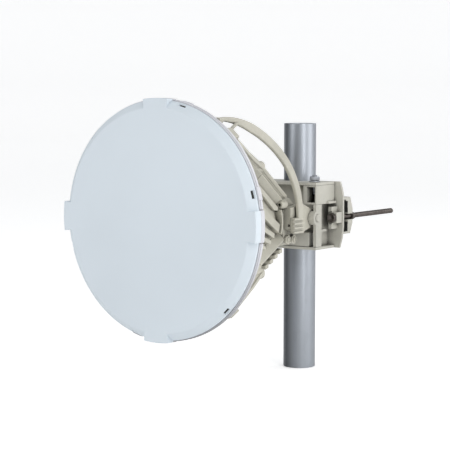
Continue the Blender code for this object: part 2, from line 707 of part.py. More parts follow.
def make_arms(carrier):
    """Two flat arms from the hub's sides back to the tilt pins."""
    front_y = -104 * MM
    for side, word in ((1, "right"), (-1, "left")):
        end = circle(ARM_END_RADIUS, (TILT_Y, TILT_Z), 12, -math.pi / 2, math.pi)
        outline = [(front_y, 219 * MM), (-84 * MM, 213 * MM), (-70 * MM, 213 * MM), *end,
                   (-70 * MM, 254 * MM), (front_y, 250 * MM)]
        arm = link("tilt_arm_" + word,
                   prism("X", outline, side * (HUB_HALF_WIDTH + GAP), side * ARM_OUTER_X), cast_paint, carrier)
        bore = rod("X", (TILT_Y, TILT_Z), PIN_RADIUS + PIN_CLEARANCE, side * 39 * MM, side * 60 * MM)
        cut(arm, bore)
        cut(arm, rod("Y", (side * 49 * MM, 224.3 * MM), 1.9 * MM, front_y - MM, front_y + 9 * MM))


def bezier(p0, p1, p2, p3, steps):
    points = []
    for i in range(steps + 1):
        t = i / steps
        s = 1 - t
        points.append(p0 * s ** 3 + p1 * 3 * s * s * t + p2 * 3 * s * t * t + p3 * t ** 3)
    return points


def make_arch(carrier):
    """Curved rib from the rim over the housing to a ribbed lug on the right arm, with one brace."""
    foot_y = FRONT_Y + RIM_DEPTH + GAP
    top = bezier(Vector((88.3, -329.2, 379.8)), Vector((83, -270, 385)), Vector((66, -162, 348)),
                 Vector((61, -120, 305.7)), 14)
    drop = bezier(Vector((61, -120, 305.7)), Vector((60, -106, 290)), Vector((57.5, -86.5, 266)),
                  Vector((56.2, -87, 234)), 7)
    path = [p * MM for p in top + drop[1:]]
    rings = []
    for i, point in enumerate(path):
        ahead = (path[min(i + 1, len(path) - 1)] - path[max(i - 1, 0)]).normalized()
        side = Vector((1, 0, 0))
        side = (side - ahead * side.dot(ahead)).normalized()
        up = side.cross(ahead)
        tall = min(2.2 + 0.7 * i, 6.2) * MM
        thick = 3.2 * MM
        rings.append([point + side * a * thick + up * b * tall for a, b in ((1, 1), (-1, 1), (-1, -1), (1, -1))])
    for corner in rings[0]:
        corner.y = foot_y
    for corner in rings[-1]:
        corner.z = LUG_TOP_Z - MM
    arch = link("arch_rib", loft(rings), cast_paint, carrier)

    foot = block((-5 * MM, foot_y, DISH_AXIS_Z + 156 * MM), (5 * MM, foot_y + 6 * MM, DISH_AXIS_Z + 161.8 * MM))
    clock = math.degrees(math.atan2(88.3, 134.8))
    turn = Matrix.Rotation(math.radians(FOOT_CLOCK_DEG), 3, "Y")
    squares = ((2.3, 2.3), (-2.3, 2.3), (-2.3, -2.3), (2.3, -2.3))
    centre = Vector((0, FRONT_Y, DISH_AXIS_Z))
    on_foot = Vector((-8 * MM, FOOT_DEPTH + GAP, 158 * MM))
    strut = [[centre + turn @ (on_foot + Vector((a, 0, b)) * MM) for a, b in squares],
             [Vector((82 + a, -276, 376 + b)) * MM for a, b in squares]]
    lug = block((ARM_OUTER_X + GAP, -105 * MM, 213 * MM), (60 * MM, -80 * MM, LUG_TOP_Z))
    fuse(arch, about_dish(foot, clock), loft(strut), lug)
    for i in range(4):
        low = (216.5 + 5.2 * i) * MM
        groove = block((58 * MM, -106 * MM, low), (61 * MM, -79 * MM, low + 1.8 * MM))
        cut(arch, groove)


def build():
    clear_scene()
    pole_axis = axis_empty("azimuth_axis", (0, 0, TILT_Z))
    tilt_axis = axis_empty("elevation_axis", (0, TILT_Y, TILT_Z), pole_axis)
    make_pole()
    for make in (make_saddle, make_plates, make_side_boxes, make_shelf, make_jaw, make_clamp_bolts,
                 make_top_bolts):
        make(pole_axis)
    for make in (make_radome, make_rim, make_reflector, make_housing, make_corners,
                 make_side_fins, make_top_fins, make_bottom_fins, make_hub, make_arms, make_arch):
        make(tilt_axis)


build()
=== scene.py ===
"""Microwave dish antenna on a pole clamp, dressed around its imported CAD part.

The origin is the middle of the pole's bottom end, +Z is up and the dish looks along -Y.
Shapes are worked out in millimetres as numpy surfaces and stored in metres. "Depth" is the
distance behind the dish's front plane.
"""
import math
from functools import partial

import bmesh
import bpy
import numpy as np
from bpy.props import FloatProperty, FloatVectorProperty, PointerProperty
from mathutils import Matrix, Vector


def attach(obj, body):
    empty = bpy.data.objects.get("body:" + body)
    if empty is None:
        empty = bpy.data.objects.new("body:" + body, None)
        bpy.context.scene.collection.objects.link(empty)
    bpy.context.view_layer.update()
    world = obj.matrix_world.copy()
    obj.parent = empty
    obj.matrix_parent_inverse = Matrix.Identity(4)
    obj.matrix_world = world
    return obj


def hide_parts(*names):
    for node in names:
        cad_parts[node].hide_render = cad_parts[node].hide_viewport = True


bl_info = {
    "name": "Microwave Dish Antenna",
    "version": (1, 0, 0),
    "blender": (4, 5, 0),
    "location": "3D View > Sidebar > Dish Antenna",
    "description": "Builds a small microwave dish antenna on a pole clamp around its CAD part",
    "category": "Object",
}

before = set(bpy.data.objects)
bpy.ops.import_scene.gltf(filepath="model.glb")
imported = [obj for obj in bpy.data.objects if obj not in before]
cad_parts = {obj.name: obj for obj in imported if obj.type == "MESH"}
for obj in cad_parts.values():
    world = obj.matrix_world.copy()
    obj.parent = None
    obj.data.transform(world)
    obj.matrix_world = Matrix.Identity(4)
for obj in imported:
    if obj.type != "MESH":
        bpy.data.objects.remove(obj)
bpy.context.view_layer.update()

MM = 0.001

# Places and sizes in millimetres, and clock angles in degrees. Legs and ridges stand on SEAT, and fins
# on FIN_ROOT, both 0.3 outside the housing's casting.
FRONT_Y = -350.0
DISH_Z = 245.0
RIM_RADIUS = 162.0
RIM_BACK = 20.5
STEP_WALL = 0.5
TAB_HALF = 20.5
TAB_CLOCKS = np.array((0, 90, 180, 270))
SNAP_CLOCKS = 15 + 60 * np.arange(6)
HOUSING_Z = 240.0
HOUSING_FRONT = 100.0
HOUSING_BACK = 245.0
TAPER_DEPTH = 144.0
TAPER_WIDE = 70.0
TAPER_TALL = 76.0
FIN_HEIGHT = 12.0
FIN_ROOT = 0.3 - FIN_HEIGHT
FIN_FRONT = 104.0
BOSS_DEPTH = 136.0
LEG_END = 148.0
RIDGE_HALF = 8.0
SEAT = -RIDGE_HALF - FIN_HEIGHT * math.sqrt(2) + 0.3
TILT_Y = -48.0
TILT_Z = 232.0
BOLT_X = 68.0
BOLT_Z = 231.0
STUD_X = 47.0
STUD_Y = -32.0
HEX_FLATS = 13.0
SIDES = {"right": 1, "left": -1}
CORNERS = {"upper_right": (1, 1), "lower_right": (1, -1), "lower_left": (-1, -1), "upper_left": (-1, 1)}


def linear(code):
    """Linear colour of an sRGB hex value."""
    value = np.array([int(code[i:i + 2], 16) for i in (1, 3, 5)]) / 255
    return tuple(np.where(value <= 0.04045, value / 12.92, ((value + 0.055) / 1.055) ** 2.4))


def size(label, description, millimetres):
    """Length that a user may change."""
    return FloatProperty(
        name=label, description=description, default=millimetres * MM, min=0, unit="LENGTH", precision=4)


def colour(label, description, code):
    """Colour that a user may change."""
    return FloatVectorProperty(
        name=label, description=description, default=linear(code), size=3, min=0, max=1, subtype="COLOR")


class AntennaSizes(bpy.types.PropertyGroup):
    moulding_edge: size("Moulding edge", "Radius on the edges of the radome and its tabs", 1.4)
    casting_edge: size("Casting edge", "Radius on the edges of the aluminium castings", 1.0)
    fin_edge: size("Fin edge", "Radius on the edges of the fins", 0.9)
    clamp_edge: size("Clamp edge", "Radius on the edges of the clamp's pieces", 0.9)
    snap_slot: size("Snap slot", "Depth of the six slots for the snap hooks", 2.6)
    thread_pitch: size("Thread pitch", "Distance between the thread's crests", 1.25)
    thread_depth: size("Thread depth", "Height of the thread", 0.62)


class AntennaColours(bpy.types.PropertyGroup):
    radome: colour("Radome", "Moulded plastic of the front", "#D6DFE6")
    rim: colour("Rim", "White paint on the reflector's rim", "#D4D4D9")
    casting: colour("Casting", "Powder coat on the housing and its legs", "#C0BDB0")
    clamp: colour("Clamp", "Powder coat on the clamp", "#C1BFB5")
    # The long bolts take a darker copy of the zinc plate, and the top plate's studs, nuts and washers a
    # lighter copy.
    zinc: colour("Weathered zinc", "Long bolts with their nuts and washers", "#69635F")
    bright: colour("Fresh zinc", "Nuts, studs and washers on the top plate", "#C3C6CC")
    tube: colour("Galvanised tube", "The pole", "#B3B8BF")
    aluminium: colour("Aluminium", "Spun reflector and feed", "#C4C5C6")
    # Black that stands in as painted shade in the radome's snap slots and on the clamp's jaw pads.
    nylon: colour("Nylon", "Snap hooks, and pads in the clamp's jaw", "#2A2A28")


# Shapes. Outlines are arrays of points, and surfaces are arrays (row, column, xyz).

def rounded(corners, radius, steps=4):
    """Closed outline with its corners rounded, except those of radius 0.

    At each corner P, tangent points A and B lie a radius back along both edges, at most 0.45
    of the edge. The corner becomes the curve (1-t)^2 A + 2t(1-t) P + t^2 B.
    """
    p = np.asarray(corners, float)
    r = np.broadcast_to(radius, len(p))
    back = np.roll(p, 1, 0) - p
    ahead = np.roll(p, -1, 0) - p
    back_length = np.linalg.norm(back, axis=1, keepdims=True)
    ahead_length = np.linalg.norm(ahead, axis=1, keepdims=True)
    cut = np.minimum(r[:, None], 0.45 * np.minimum(back_length, ahead_length))
    count = np.where(r > 0, steps + 1, 1)
    k = np.repeat(np.arange(len(p)), count)
    t = ((np.arange(count.sum()) - np.repeat(np.cumsum(count) - count, count)) / steps)[:, None]
    a = (p + back / back_length * cut)[k]
    b = (p + ahead / ahead_length * cut)[k]
    return a * (1 - t) ** 2 + 2 * t * (1 - t) * p[k] + b * t ** 2


def xyz(x, y, z):
    """Points from coordinates, each a number or an array."""
    return np.stack(np.broadcast_arrays(x, y, z), -1)


def on_axis(axis, a, b, height):
    """Points whose place on the named axis is height, and a, b on the other two in order."""
    return xyz(*{"X": (height, a, b), "Y": (a, height, b), "Z": (a, b, height)}[axis])


def turned(profile, axis, centre, steps, flats=None):
    """Surface (r cos u, r sin u) about an axis, for a profile of (r, height) and angle u.

    With flats, r is at most the hexagon (flats / 2) / cos of the angle from the nearest flat.
    """
    profile = np.asarray(profile, float)
    u = np.linspace(0, math.tau, steps, endpoint=False)[None]
    r = profile[:, :1]
    if flats:
        nearest = np.mod(u + math.pi / 6, math.pi / 3) - math.pi / 6
        r = np.minimum(r, flats / 2 / np.cos(nearest))
    return on_axis(axis, centre[0] + r * np.cos(u), centre[1] + r * np.sin(u), profile[:, 1:])


def slab(outline, low, high, at):
    """Two rings over an outline of (a, b) points at heights low and high, set by at(a, b, height)."""
    outline = np.asarray(outline, float)
    return at(outline[None, :, 0], outline[None, :, 1], np.array([[low], [high]], float))


def block(low, high):
    """Box between two opposite corners."""
    (x0, y0, z0), (x1, y1, z1) = low, high
    return slab([(x0, y0), (x1, y0), (x1, y1), (x0, y1)], z0, z1, partial(on_axis, "Z"))


def arc(centre, radius, start, end):
    """25 points centre + radius (cos t, sin t), from one angle in degrees to another."""
    t = np.radians(np.linspace(start, end, 25))
    return np.stack((centre[0] + radius * np.cos(t), centre[1] + radius * np.sin(t)), 1)


def ribbon(line, width):
    """Closed outline of a path of (a, b) points with a width: the path moved half a width to each side."""
    line = np.asarray(line, float)
    run = np.gradient(line, axis=0)
    off = np.stack((-run[:, 1], run[:, 0]), 1) / np.linalg.norm(run, axis=1, keepdims=True)
    off *= width / 2
    return np.concatenate((line - off, (line + off)[::-1]))


def bezier(points, steps):
    """Cubic curve (1-t)^3 A + 3t(1-t)^2 B + 3t^2(1-t) C + t^3 D through its four control points."""
    a, b, c, d = np.asarray(points, float)
    t = np.linspace(0, 1, steps + 1)[:, None]
    return a * (1 - t) ** 3 + 3 * b * t * (1 - t) ** 2 + 3 * c * t ** 2 * (1 - t) + d * t ** 3


def carried(path, section):
    """Section (rows, points, 2) carried along a path.

    At each path point the section's first axis is +X squared off from the direction of
    travel, and its second is the first crossed with the direction.
    """
    run = np.gradient(path, axis=0)
    run /= np.linalg.norm(run, axis=1, keepdims=True)
    side = np.array((1.0, 0, 0)) - run * run[:, :1]
    side /= np.linalg.norm(side, axis=1, keepdims=True)
    up = np.cross(side, run)
    return path[:, None] + side[:, None] * section[..., :1] + up[:, None] * section[..., 1:]


def about_dish(radius, clock, depth):
    """Points at a radius and a clock angle in degrees, clockwise from the front, at a depth."""
    clock = np.radians(clock)
    return xyz(radius * np.sin(clock), FRONT_Y + depth, DISH_Z + radius * np.cos(clock))


def at_clock(clock):
    """Placer for an outline of (across, radius) round the dish, with depth as its height."""
    c, s = math.cos(math.radians(clock)), math.sin(math.radians(clock))

    def at(across, radius, depth):
        return xyz(across * c + radius * s, FRONT_Y + depth, DISH_Z + radius * c - across * s)
    return at


def half_width(depth):
    """Half width of the housing's outline, less by 0.27 of the way behind the taper's start."""
    return TAPER_WIDE - 0.27 * (depth - TAPER_DEPTH)


def half_height(depth, up=1):
    """Outline's height over the middle or under it, less by 0.48 or 0.28 of the way."""
    return TAPER_TALL - (0.48 if up > 0 else 0.28) * (depth - TAPER_DEPTH)


def on_flank(side):
    """Placer for (depth, across, height) on a sloping side, with height over its outer slope."""
    def at(depth, across, height):
        y = FRONT_Y + depth
        wide = half_width(depth) + height
        spots = {"right": (wide, y, HOUSING_Z + across), "left": (-wide, y, HOUSING_Z + across),
                 "top": (across, y, HOUSING_Z + half_height(depth) + height),
                 "bottom": (across, y, HOUSING_Z - half_height(depth, -1) - height)}
        return xyz(*spots[side])
    return at


def off_corner(signs, depth, wide, tall, outward, across):
    """Points moved along and across the diagonal from a corner of half width and half height."""
    x = signs[0] * (wide + (outward + across) / math.sqrt(2))
    z = signs[1] * (tall + (outward - across) / math.sqrt(2))
    return xyz(x, FRONT_Y + depth, HOUSING_Z + z)


def from_corner(signs, depth, outward, across):
    """Points near a corner line of the housing."""
    return off_corner(signs, depth, half_width(depth), half_height(depth, signs[1]), outward, across)


def from_leg_line(signs, depth, outward, across):
    """Points near a leg's line, which spreads 0.33 sideways and 0.32 up and down for its way ahead.

    In front of the housing the lines rise evenly, to be even about the dish's axis at the rim.
    """
    ahead = TAPER_DEPTH - depth
    rise = max(0, HOUSING_FRONT - depth) * (DISH_Z - HOUSING_Z) / (HOUSING_FRONT - RIM_BACK)
    tall = TAPER_TALL + 0.32 * ahead + signs[1] * rise
    return off_corner(signs, depth, TAPER_WIDE + 0.33 * ahead, tall, outward, across)


# Pieces

def faces_of(rows, columns, start, ring):
    """Quads of a grid closed round its columns, and round its rows with ring, else with end caps."""
    i = np.arange(rows if ring else rows - 1)[:, None]
    j = np.arange(columns)[None]
    k = (i + 1) % rows
    n = (j + 1) % columns
    quads = np.stack((i * columns + j, i * columns + n, k * columns + n, k * columns + j), -1).reshape(-1, 4)
    faces = (quads + start).tolist()
    if not ring:
        faces += [list(range(start + columns - 1, start - 1, -1)),
                  list(range(start + (rows - 1) * columns, start + rows * columns))]
    return faces


def inside_out(grid, ring):
    """Whether the volume that the grid's faces enclose comes out negative."""
    grid = grid - grid.mean((0, 1))
    upper = np.roll(grid, -1, 0) if ring else grid[1:]
    lower = grid[:len(upper)]
    beyond = np.roll(upper, -1, 1)
    volume = (np.cross(lower, np.roll(lower, -1, 1)) * beyond + np.cross(lower, beyond) * upper).sum()
    if not ring:
        for end, sign in ((grid[0], -1), (grid[-1], 1)):
            volume += sign * (np.cross(end, np.roll(end, -1, 0)) * end.mean(0)).sum()
    return volume < 0


def into_scene(name, data):
    """New object in the scene for a mesh, light or camera."""
    made = bpy.data.objects.new(name, data)
    bpy.context.scene.collection.objects.link(made)
    return made


def solid(name, grids, rings=(), marked=None):
    """Object from several closed surfaces. Those numbered in rings join their last row to their first.

    Marked is a mask of a single surface's faces, for those that take a second finish.
    """
    points, faces = [], []
    start = 0
    for number, grid in enumerate(grids):
        ring = number in rings
        grid = np.asarray(grid, float)
        if inside_out(grid, ring):
            grid = grid[:, ::-1]
            if marked is not None:
                marked = np.roll(marked[:, ::-1], -1, 1)
        faces += faces_of(*grid.shape[:2], start, ring)
        points.append(grid.reshape(-1, 3))
        start += len(points[-1])
    mesh = bpy.data.meshes.new(name)
    mesh.from_pydata((np.concatenate(points) * MM).tolist(), [], faces)
    if marked is not None:
        second = np.zeros(len(faces), np.int32)
        second[:marked.size] = marked.ravel()
        mesh.polygons.foreach_set("material_index", second)
    mesh.validate()
    mesh.shade_smooth()
    return into_scene(name, mesh)


def soften(piece, edge, segments=3):
    """Round the edges over 30 degrees, and weight the normals so that flat faces stay flat."""
    bevel = piece.modifiers.new("edges", "BEVEL")
    bevel.width = edge
    bevel.segments = segments
    bevel.limit_method = "ANGLE"
    bevel.angle_limit = math.radians(30)
    weighted = piece.modifiers.new("normals", "WEIGHTED_NORMAL")
    weighted.keep_sharp = True
    return piece


def crease(piece, angle=35):
    """Shade the edges over an angle as sharp."""
    piece.data.set_sharp_from_angle(angle=math.radians(angle))
    return piece


def softened_copy(node, name, edge):
    """Copy of a CAD node with its flat faces joined and its edges rounded."""
    shape = bmesh.new()
    shape.from_mesh(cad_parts[node].data)
    bmesh.ops.remove_doubles(shape, verts=shape.verts, dist=0.00001)
    bmesh.ops.dissolve_limit(shape, angle_limit=math.radians(1), verts=shape.verts, edges=shape.edges)
    mesh = bpy.data.meshes.new(name)
    shape.to_mesh(mesh)
    shape.free()
    mesh.shade_smooth()
    mesh.materials.clear()
    return soften(into_scene(name, mesh), edge, 2)


def place(piece, finish, *nodes, second=None):
    """Give the piece its finish and body, and hide the nodes that it stands for.

    A second finish is for the faces that solid() marked.
    """
    _, slot, body = FINISHES[finish]
    for name in (finish, second) if second else (finish,):
        piece.data.materials.append(bpy.data.materials[FINISHES[name][0]])
    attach(piece, body)
    if nodes:
        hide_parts(*nodes)


# Materials

# Each finish's material, and the record's slot and the body of the pieces that take it.
FINISHES = {
    "radome": ("moulded_asa", "radome_plastic", "antenna"),
    "rim": ("white_enamel_on_aluminium", "white_painted_rim", "antenna"),
    "casting": ("powder_coated_aluminium_casting", "painted_casting", "antenna"),
    "clamp": ("powder_coated_clamp_casting", "painted_clamp", "clamp"),
    "zinc": ("zinc_plate_on_steel", "zinc_plated_steel", "clamp"),
    "bright": ("fresh_zinc_plate_on_steel", "zinc_plated_steel", "clamp"),
    "tube": ("hot_dip_galvanised_steel_tube", "galvanised_tube", "pole"),
    "aluminium": ("spun_aluminium", "bare_aluminium", "antenna"),
    "nylon": ("black_nylon", "painted_clamp", "clamp"),
}
# Sockets of a Mix node of colours go by number, because several share a name.
FACTOR, FIRST, SECOND, MIXED = 0, 6, 7, 2


def feed(tree, node, inputs):
    """Set a node's inputs by name or number, or link those that are given another node's output."""
    for key, value in inputs.items():
        if isinstance(value, bpy.types.NodeSocket):
            tree.links.new(value, node.inputs[key])
        else:
            node.inputs[key].default_value = value


def add(tree, kind, inputs=None, out=0, **settings):
    """Add a shader node with its settings and inputs, and give its first or named output."""
    made = tree.nodes.new("ShaderNode" + kind)
    for name, value in settings.items():
        setattr(made, name, value)
    feed(tree, made, inputs or {})
    return made.outputs[out]


def material(finish, roughness, metallic=0.0):
    """New material's nodes, shader and colour, and the Object coordinates that its patterns read."""
    made = bpy.data.materials.new(FINISHES[finish][0])
    made.use_nodes = True
    tint = tuple(getattr(bpy.context.scene.antenna_colours, finish))
    made.diffuse_color = (*tint, 1)
    tree = made.node_tree
    shader = tree.nodes["Principled BSDF"]
    feed(tree, shader, {"Base Color": (*tint, 1), "Roughness": roughness, "Metallic": metallic})
    return tree, shader, tint, add(tree, "TexCoord", out="Object")


def shade(tint, factor=1):
    """Tint made darker or lighter, with alpha 1."""
    return (*(min(1.0, v * factor) for v in tint), 1)


def mottled(tree, where, scale, tint, dark, light, detail=4.0):
    """Tint that wanders between two shades of itself by noise."""
    cloud = add(tree, "TexNoise", {"Vector": where, "Scale": scale, "Detail": detail, "Roughness": 0.6})
    spread = add(tree, "MapRange", {"Value": cloud, "From Min": 0.35, "From Max": 0.65})
    return add(tree, "Mix", {FACTOR: spread, FIRST: shade(tint, dark), SECOND: shade(tint, light)},
               MIXED, data_type="RGBA")


def grime_and_painted_shade(tree, tint, grime_and_shade, reach, low, high):
    """Tint that darkens towards a colour of dirt and painted shade where surfaces within reach, in
    millimetres, close a spot in.
    """
    closed = add(tree, "AmbientOcclusion", {"Distance": reach * MM}, "AO", samples=6)
    spread = add(tree, "MapRange", {"Value": closed, "From Min": low, "From Max": high})
    return add(tree, "Mix", {FACTOR: spread, FIRST: grime_and_shade, SECOND: tint}, MIXED, data_type="RGBA")


def dress(tree, shader, height, strength, depth, inputs):
    """Set and link the shader's inputs, with a bump of a depth in millimetres."""
    bump = add(tree, "Bump", {"Height": height, "Strength": strength, "Distance": depth * MM})
    feed(tree, shader, inputs | {"Normal": bump})


def moulded_asa():
    """ASA injection moulding: even, half matt, with a fine spark-eroded grain that softens reflections."""
    tree, shader, tint, where = material("radome", 0.48)
    # The eroded grain is about 0.2 mm across, drawn at 1.2 mm so that it shows at all.
    grain = add(tree, "TexNoise", {"Vector": where, "Scale": 1 / (1.2 * MM), "Detail": 3.0})
    gloss = add(tree, "MapRange", {"Value": grain, "To Min": 0.42, "To Max": 0.55})
    skin = mottled(tree, where, 5, tint, 0.975, 1.02, 2)
    dress(tree, shader, grain, 0.1, 0.06, {"Base Color": skin, "Roughness": gloss})


def white_enamel():
    """White enamel on spun aluminium: smoother than the radome, with dirt and painted shade in its groove,
    and painted shade on its lower part.
    """
    tree, shader, tint, where = material("rim", 0.38)
    coat = grime_and_painted_shade(tree, mottled(tree, where, 18, tint, 0.96, 1.03), shade(tint, 0.55), 3, 0.25, 0.8)
    # Painted shade: the lowest third of the ring is painted a darker grey.
    height = add(tree, "SeparateXYZ", {"Vector": where}, "Z")
    low, high = (DISH_Z - 140) * MM, (DISH_Z - 30) * MM
    unshaded_share = add(tree, "MapRange", {"Value": height, "From Min": low, "From Max": high})
    with_painted_shade = add(tree, "Mix", {FACTOR: unshaded_share, FIRST: shade(tint, 0.5), SECOND: coat}, MIXED, data_type="RGBA")
    # Enamel flows out with a ripple of about 3 mm.
    ripple = add(tree, "TexNoise", {"Vector": where, "Scale": 1 / (3 * MM)})
    dress(tree, shader, ripple, 0.12, 0.08, {"Base Color": with_painted_shade})


def powder_coat(finish, dust_and_shade, sand, reach, closed):
    """Powder coat on a die casting: half matt, with orange peel over the casting's skin, and corners darkened
    by dirt and painted shade.

    Sand is the grain of the skin and reach the spread of the dirt and painted shade, in millimetres. Closed
    is the share of open air below which a pocket starts to turn black with painted shade.
    """
    tree, shader, tint, where = material(finish, 0.5)
    patches = mottled(tree, where, 22, tint, 0.9, 1.05)
    specks = add(tree, "TexNoise", {
        "Vector": where, "Scale": 1 / (1.5 * MM), "Detail": 5.0, "Roughness": 0.7})
    light = add(tree, "MapRange", {
        "Value": specks, "From Min": 0.3, "From Max": 0.7, "To Min": 0.93, "To Max": 1.05})
    flecked = add(tree, "Mix", {FACTOR: 1.0, FIRST: patches, SECOND: light}, MIXED,
                  data_type="RGBA", blend_type="MULTIPLY")
    # Dust and painted shade darken the corners, and painted shade makes the insides of boxes and pockets near
    # black.
    dusty_and_shaded = grime_and_painted_shade(tree, flecked, shade(linear(dust_and_shade)), reach, 0.08, 0.68)
    coat = grime_and_painted_shade(tree, dusty_and_shaded, shade(linear("#1E1D17")), 45, 0.06, closed)
    # Orange peel of 1.5 to 2 mm over the coarser skin of the sand-blasted casting.
    skin = add(tree, "TexNoise", {
        "Vector": where, "Scale": 1 / (sand * MM), "Detail": 3.0, "Roughness": 0.55})
    both = add(tree, "Math", {0: specks, 1: skin}, operation="ADD")
    gloss = add(tree, "MapRange", {
        "Value": skin, "From Min": 0.3, "From Max": 0.7, "To Min": 0.42, "To Max": 0.6})
    dress(tree, shader, both, 0.22, 0.14, {"Base Color": coat, "Roughness": gloss})


def zinc_plate(finish):
    """Zinc plate on steel: metal with cloudy patches of about 4 mm, and painted shade of a brown cast in the
    thread.
    """
    tree, shader, tint, where = material(finish, 0.42, 0.9)
    cloud = mottled(tree, where, 60, tint, 0.75, 1.15)
    with_painted_hollow_shade = grime_and_painted_shade(tree, cloud, shade(linear("#2A2522")), 1.5, 0.2, 0.85)
    patch = add(tree, "TexNoise", {"Vector": where, "Scale": 1 / (4 * MM), "Detail": 4.0})
    gloss = add(tree, "MapRange", {
        "Value": patch, "From Min": 0.3, "From Max": 0.7, "To Min": 0.3, "To Max": 0.52})
    dress(tree, shader, patch, 0.1, 0.05, {"Base Color": with_painted_hollow_shade, "Roughness": gloss})


def galvanised_tube():
    """Hot-dip galvanised tube: clean dull metal with a barely seen spangle and long drawing lines, and
    painted shade on its flanks.
    """
    tree, shader, tint, where = material("tube", 0.3, 1.0)
    # Spangle crystals are 6 to 10 mm across and longer along the tube.
    drawn = add(tree, "Mapping", {"Vector": where, "Scale": (1, 1, 0.45)})
    spangle = add(tree, "TexVoronoi", {"Vector": drawn, "Scale": 1 / (8 * MM)}, "Color")
    crystal = add(tree, "SeparateColor", {"Color": spangle})
    run = add(tree, "Mapping", {"Vector": where, "Scale": (1, 1, 0.02)})
    streak = add(tree, "TexNoise", {"Vector": run, "Scale": 1 / (3 * MM), "Detail": 3.0})
    mixed = add(tree, "Mix", {0: 0.75, 2: crystal, 3: streak}, data_type="FLOAT")
    spread = add(tree, "MapRange", {"Value": mixed, "From Min": 0.25, "From Max": 0.75})
    skin = add(tree, "Mix", {FACTOR: spread, FIRST: shade(tint, 0.95), SECOND: shade(tint, 1.04)},
               MIXED, data_type="RGBA")
    # Painted shade: the flanks, to both sides of this line, are painted a darker grey, most of all towards
    # the foot.
    line = (0.928, -0.372, 0)
    level = add(tree, "Mapping", {"Vector": where, "Scale": (1, 1, 0)})
    outward = add(tree, "VectorMath", {0: level}, operation="NORMALIZE")
    along = add(tree, "VectorMath", {0: outward, 1: line}, "Value", operation="DOT_PRODUCT")
    faced = add(tree, "Math", {0: along}, operation="ABSOLUTE")
    height = add(tree, "SeparateXYZ", {"Vector": where}, "Z")
    power = add(tree, "MapRange", {
        "Value": height, "From Min": 0.1, "From Max": 0.34, "To Min": 1.3, "To Max": 0.6})
    lit_share = add(tree, "Math", {0: faced, 1: power}, operation="POWER")
    shaded_skin = add(tree, "Mix", {FACTOR: 1.0, FIRST: skin, SECOND: (0.2, 0.2, 0.2, 1)}, MIXED,
               data_type="RGBA", blend_type="MULTIPLY")
    with_painted_shade = add(tree, "Mix", {FACTOR: lit_share, FIRST: shaded_skin, SECOND: skin}, MIXED, data_type="RGBA")
    gloss = add(tree, "MapRange", {"Value": mixed, "To Min": 0.35, "To Max": 0.42})
    dress(tree, shader, streak, 0.06, 0.05, {"Base Color": with_painted_shade, "Roughness": gloss})


def spun_aluminium():
    """Spun aluminium: bright metal with fine rings from the roller, about the dish's axis."""
    tree, shader, tint, where = material("aluminium", 0.36, 1.0)
    centred = add(tree, "Mapping", {"Vector": where, "Location": (0, 0, -DISH_Z * MM), "Scale": (1, 0, 1)})
    radius = add(tree, "VectorMath", {0: centred}, "Value", operation="LENGTH")
    # Roller marks are 0.6 mm apart, drawn at 1.6 mm so that they show.
    rings = add(tree, "TexNoise", {"W": radius, "Scale": 1 / (1.6 * MM)}, noise_dimensions="1D")
    skin = add(tree, "Mix", {FACTOR: rings, FIRST: shade(tint, 0.8), SECOND: shade(tint, 1.1)},
               MIXED, data_type="RGBA")
    # Painted shade darkens the metal where surfaces close it in.
    with_painted_hollow_shade = grime_and_painted_shade(tree, skin, shade(tint, 0.35), 4, 0.2, 0.75)
    dress(tree, shader, rings, 0.25, 0.1, {"Base Color": with_painted_hollow_shade})


def black_nylon():
    """Black for the painted shade inside the radome's snap slots and on the jaw's pads: dark, with a dull
    grain.
    """
    tree, shader, tint, where = material("nylon", 0.7)
    grain = add(tree, "TexNoise", {"Vector": where, "Scale": 1 / (0.8 * MM)})
    skin = add(tree, "Mix", {FACTOR: grain, FIRST: shade(tint, 0.7), SECOND: shade(tint, 1.5)},
               MIXED, data_type="RGBA")
    dress(tree, shader, grain, 0.1, 0.05, {"Base Color": skin})


# Dish

def dish_outline(plain, raised, clocks, *windows):
    """Profile of (radius, depth) for each column: raised inside any of the windows, else plain.

    A window is an array of clock angles and a half width in millimetres at the rim.
    """
    share = np.max([inside(clocks, *window) for window in windows], 0)[None, :, None]
    return plain[:, None] * (1 - share) + raised[:, None] * share


def inside(clocks, centres, half):
    """1 for the clock angles within half a width of a centre, 0 outside, with a short slope between."""
    away = np.abs(np.mod(clocks[:, None] - centres[None] + 180, 360) - 180).min(1)
    return np.clip((half + STEP_WALL / 2 - np.radians(away) * RIM_RADIUS) / STEP_WALL, 0, 1)


def ring_clocks(*windows):
    """240 even clock angles, with closer ones at both sides of each window's ends."""
    marks = [np.linspace(0, 360, 240, endpoint=False)]
    for centres, half in windows:
        ends = np.degrees((half + STEP_WALL * np.array((-0.5, 0.5))) / RIM_RADIUS)
        marks += [(centres[:, None] + ends).ravel(), (centres[:, None] - ends).ravel()]
    return np.unique(np.round(np.mod(np.concatenate(marks), 360), 4))


def dish_turned(profile, steps):
    """Profile of (radius, depth) turned about the dish's axis."""
    profile = np.asarray(profile, float)
    return about_dish(profile[:, :1], np.linspace(0, 360, steps, endpoint=False)[None], profile[:, 1:])


